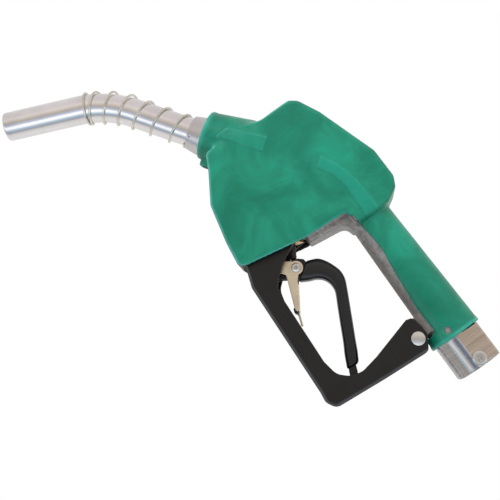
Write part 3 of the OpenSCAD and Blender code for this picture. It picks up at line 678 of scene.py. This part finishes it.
def grip():
    """The trigger's moulded sleeve, its section a rounded rectangle, its ends rolled over."""
    line = curve_through([np.array([*a, *b]) for a, b in GRIP], 10)
    rows = [(q[:2], q[2:], 0.0) for q in line]

    def rolled(q, inner, radius):
        """Rings that close an end over a quarter turn."""
        ends = []
        for k in range(1, 9):
            a = math.pi / 2 * k / 8
            step = [q[j:j + 2] - inner[j:j + 2] for j in (0, 2)]
            out = [v / np.linalg.norm(v) for v in step]
            ends.append((q[:2] + out[0] * radius * math.sin(a), q[2:] + out[1] * radius * math.sin(a),
                         radius * (1 - math.cos(a))))
        return ends

    rows = rolled(line[0], line[1], ROLLS[0])[::-1] + rows + rolled(line[-1], line[-2], ROLLS[1])
    rings = []
    for top, low, inset in rows:
        mid = (top + low) / 2
        half = (top - low) / 2
        n = np.linalg.norm(half)
        half = half * (n - inset) / n
        w = SLEEVE_HALF - inset
        ring = []
        for t in circle(SECTION_SIDES):
            u, v = (math.copysign(abs(f(t)) ** (2 / SQUARENESS), f(t)) for f in (math.cos, math.sin))
            ring.append(Vector((mid[0] + half[0] * v, w * u, mid[1] + half[1] * v)) * MM)
        rings.append(ring)
    return new_object("trigger_grip", *tube(rings))


paint(place(grip(), "lever_sleeve"), "black_sleeve")


def coil(node):
    """A copy of a spring's mesh, fixed where it stands and painted in its slot, in place of the hidden CAD
    node.
    """
    ob = linked(node + "_coil", NODES[node].data.copy())
    co = read(ob.data)
    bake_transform(ob)
    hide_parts(node)
    paint(ob, SLOT[node])


for node, body in (("plunger_spring", "plunger"), ("diaphragm_spring", "latch_release"),
                   ("poppet_spring", "main_valve"), ("check_spring", "check_valve")):
    coil(node)

# ------------------------------------------------------------------ spout
SIDES = 96
LENGTHS = 90
# where its even part starts along the line
ROOT = 4.2 * MM
# back from the tip: where its edge starts to turn in, the rim of its bore, and where the even bore starts
TIP_START = 2.7 * MM
BORE_RIM = 0.8 * MM
BORE_START = 1.2 * MM
# the tip's edge runs on over this length as it turns in by this much
TIP_RUN = 2.1 * MM
TIP_TURN = 1.1 * MM
TIP_STEPS = 12
# the sensing port, back from the tip
PORT_BACK = 16 * MM
PORT_R = 1.6 * MM
# from the spout's line, in mm, the depths the port is cut between
PORT_DEPTHS = (9, 15)


def spout():
    """The bent tube, hollow, its tip's edge turned in, with the sensing port near its tip."""
    bore_r = SPOUT_R - SPOUT_WALL
    stations = [(3.7 * MM, SPOUT_R - 0.3 * MM), (4.0 * MM, SPOUT_R)]
    stations += [(ROOT + (S3 - TIP_START - ROOT) * i / LENGTHS, SPOUT_R) for i in range(LENGTHS + 1)]
    for k in range(1, TIP_STEPS + 1):
        t = math.pi / 2 * k / TIP_STEPS
        stations.append((S3 - TIP_START + TIP_RUN * math.sin(t), SPOUT_R - TIP_TURN * (1 - math.cos(t))))
    stations.append((S3 - BORE_RIM, bore_r + 0.02 * MM))
    stations += [(S3 - BORE_START - (S3 - 5.2 * MM) * i / LENGTHS, bore_r) for i in range(LENGTHS + 1)]
    rings = []
    for d, r in stations:
        c, e, y, g = frame_at(d)
        rings.append([c + r * (math.cos(t) * e + math.sin(t) * y) for t in circle(SIDES)])
    ob = new_object("spout_skin", *tube(rings, closed=True))
    c, e, y, g = frame_at(S3 - PORT_BACK)
    cutter = new_object("port_cutter", *tube([[c - e * h * MM + PORT_R * (math.cos(t) * y + math.sin(t) * g)
                                              for t in circle(32)] for h in PORT_DEPTHS]))
    m = ob.modifiers.new("port", "BOOLEAN")
    m.operation = "DIFFERENCE"
    m.solver = "EXACT"
    m.object = cutter
    applied(ob)
    bpy.data.objects.remove(cutter)
    return smooth_shaded(ob)


WIRE_R = 0.95 * MM
WIRE_TURNS = 7.1
WIRE_STEPS = 64
WIRE_SIDES = 14


def wire_at(k):
    """Distance in mm from the line's start after k turns: two close turns at the outer end, then a pitch that
    grows, and the inner end turned down into the collar's hole."""
    if k < 1:
        return 108.43 - 2.1 * k - 6.33 * k * k
    if k < 6:
        return 100 - 12.6 * (k - 1) - 0.58 * (k - 1) ** 2
    return 22.5 - 11.5 * (k - 6) + 3.6 * (k - 6) ** 2


def wire():
    """The winding round the spout."""
    rings = []
    for i in range(int(WIRE_TURNS * WIRE_STEPS) + 1):
        k = -0.5 + i / WIRE_STEPS
        d = wire_at(k)
        t = math.radians(360 * k - 10)
        c, e, y, g = frame_at(d * MM)
        # turns stand a little off the tube on the outer side of its bend
        proud = 0.12 + 1.0 * max(0.0, math.cos(t)) * math.exp(-((d - 80) / 20) ** 2)
        rr = SPOUT_R + WIRE_R + proud * MM
        er = math.cos(t) * e + math.sin(t) * y
        rings.append([c + rr * er + WIRE_R * (math.cos(s) * er + math.sin(s) * g)
                      for s in circle(WIRE_SIDES)])
    return new_object("spout_winding", *tube(rings))


paint(place(spout(), "spout_tube"), "spout_aluminium")
paint(place(wire(), "spout_wire"), "spring_wire")

# ------------------------------------------------------------------ stage, light and camera
def emission(name, strength):
    """A plain white glowing material."""
    m = bpy.data.materials.new(name)
    m.use_nodes = True
    t = m.node_tree
    t.nodes.clear()
    o = t.nodes.new("ShaderNodeOutputMaterial")
    e = t.nodes.new("ShaderNodeEmission")
    e.inputs[0].default_value = (1, 1, 1, 1)
    e.inputs[1].default_value = strength
    t.links.new(e.outputs[0], o.inputs[0])
    return m


FLOOR_Z = -0.32
FLOOR_HALF = 6
corners = [(FLOOR_HALF * i, FLOOR_HALF * j, FLOOR_Z) for i, j in ((-1, -1), (1, -1), (1, 1), (-1, 1))]
floor = new_object("floor", corners, [(0, 1, 2, 3)])
floor.data.materials.append(emission("floor_pale", 1.0))
floor.visible_diffuse = False
floor.visible_glossy = False

world = bpy.data.worlds.new("studio")
bpy.context.scene.world = world
world.use_nodes = True
wt = world.node_tree
wt.nodes.clear()
wo = wt.nodes.new("ShaderNodeOutputWorld")
# what the camera sees behind the nozzle
seen = wt.nodes.new("ShaderNodeBackground")
seen.inputs[0].default_value = (1, 1, 1, 1)
seen.inputs[1].default_value = 1.0

# the main view's own directions: right, up and back towards the camera
AZ, ROLL = math.radians(11.55), math.radians(54.7)
level = Vector((math.cos(AZ), math.sin(AZ), 0))
RIGHT = level * math.cos(ROLL) + Vector((0, 0, 1)) * math.sin(ROLL)
BACK = Vector((math.sin(AZ), -math.cos(AZ), 0))
UP = BACK.cross(RIGHT)

way = wt.nodes.new("ShaderNodeTexCoord").outputs["Generated"]


def along(v):
    """How far the world's direction points along v."""
    n = wt.nodes.new("ShaderNodeVectorMath")
    n.operation = "DOT_PRODUCT"
    wt.links.new(way, n.inputs[0])
    n.inputs[1].default_value = v
    return n.outputs["Value"]


turn = wt.nodes.new("ShaderNodeMath")
turn.operation = "ARCTAN2"
wt.links.new(along(UP), turn.inputs[0])
wt.links.new(along(BACK), turn.inputs[1])
share = wt.nodes.new("ShaderNodeMapRange")
share.inputs["From Min"].default_value = -math.pi
share.inputs["From Max"].default_value = math.pi
wt.links.new(turn.outputs[0], share.inputs["Value"])
room = wt.nodes.new("ShaderNodeValToRGB")
room.color_ramp.interpolation = "EASE"
# what shiny surfaces mirror, by the angle in degrees from the front upwards: a pale room, a dark area in
# front of the nozzle, and below it a blue edge, a bright strip and a narrow dark one
ROOM = [(-180, (0.80, 0.79, 0.78)), (-108, (0.84, 0.83, 0.82)), (-86, (0.76, 0.74, 0.72)),
        (-68, (0.38, 0.41, 0.46)), (-50, (0.46, 0.62, 0.72)), (-38, (1.10, 1.14, 1.20)),
        (-26, (1.25, 1.27, 1.30)), (-12, (0.56, 0.62, 0.76)), (6, (0.48, 0.46, 0.43)),
        (22, (0.66, 0.59, 0.51)), (40, (0.80, 0.75, 0.71)), (62, (0.72, 0.66, 0.65)),
        (90, (0.72, 0.68, 0.68)), (135, (0.76, 0.74, 0.73)), (180, (0.80, 0.79, 0.78))]
ends = room.color_ramp.elements
while len(ends) < len(ROOM):
    ends.new(0.5)
for el, (a, col) in zip(ends, ROOM):
    el.position = (a + 180) / 360
    el.color = (*col, 1)
wt.links.new(share.outputs[0], room.inputs[0])
mirrored = wt.nodes.new("ShaderNodeBackground")
wt.links.new(room.outputs[0], mirrored.inputs[0])
mirrored.inputs[1].default_value = 1.0
# what lights dull surfaces
lit = wt.nodes.new("ShaderNodeBackground")
lit.inputs[0].default_value = (0.95, 0.97, 1.0, 1)
lit.inputs[1].default_value = 0.55
lp = wt.nodes.new("ShaderNodeLightPath")


def choose(fac, a, b):
    """Shader a where fac is 0, b where it is 1."""
    n = wt.nodes.new("ShaderNodeMixShader")
    wt.links.new(fac, n.inputs[0])
    wt.links.new(a, n.inputs[1])
    wt.links.new(b, n.inputs[2])
    return n.outputs[0]


both = choose(lp.outputs["Is Glossy Ray"], lit.outputs[0], mirrored.outputs[0])
wt.links.new(choose(lp.outputs["Is Camera Ray"], both, seen.outputs[0]), wo.inputs[0])

CAMERA_AT = (-0.040, -0.6623, -0.0912)
cam_data = bpy.data.cameras.new("camera")
cam_data.sensor_width = 36
cam_data.lens = 61.2
cam = linked("camera", cam_data)
cam.matrix_world = Matrix.Translation(CAMERA_AT) @ Matrix((RIGHT, UP, BACK)).transposed().to_4x4()
bpy.context.scene.camera = cam
# the point the lights are aimed at
CENTRE = Vector((-0.19, 0, -0.085))


def softbox(name, across, up, toward, size, energy):
    """Area light placed along the main view's directions, aimed at the nozzle."""
    d = bpy.data.lights.new(name, "AREA")
    d.shape = "RECTANGLE"
    d.size, d.size_y = size
    d.energy = energy
    ob = linked(name, d)
    ob.visible_glossy = False
    at = CENTRE + RIGHT * across + UP * up + BACK * toward
    z = (at - CENTRE).normalized()
    x = RIGHT - z * RIGHT.dot(z)
    x.normalize()
    ob.matrix_world = Matrix.Translation(at) @ Matrix((x, z.cross(x), z)).transposed().to_4x4()


softbox("key", -0.25, 0.95, 0.75, (1.3, 0.5), 8.5)
softbox("fill", 0.9, 0.1, 0.9, (0.6, 1.1), 3.0)
softbox("low", -0.3, -0.9, 0.6, (1.2, 0.35), 2.0)

vs = bpy.context.scene.view_settings
vs.view_transform = "Standard"
vs.look = "None"
vs.exposure = 0.0
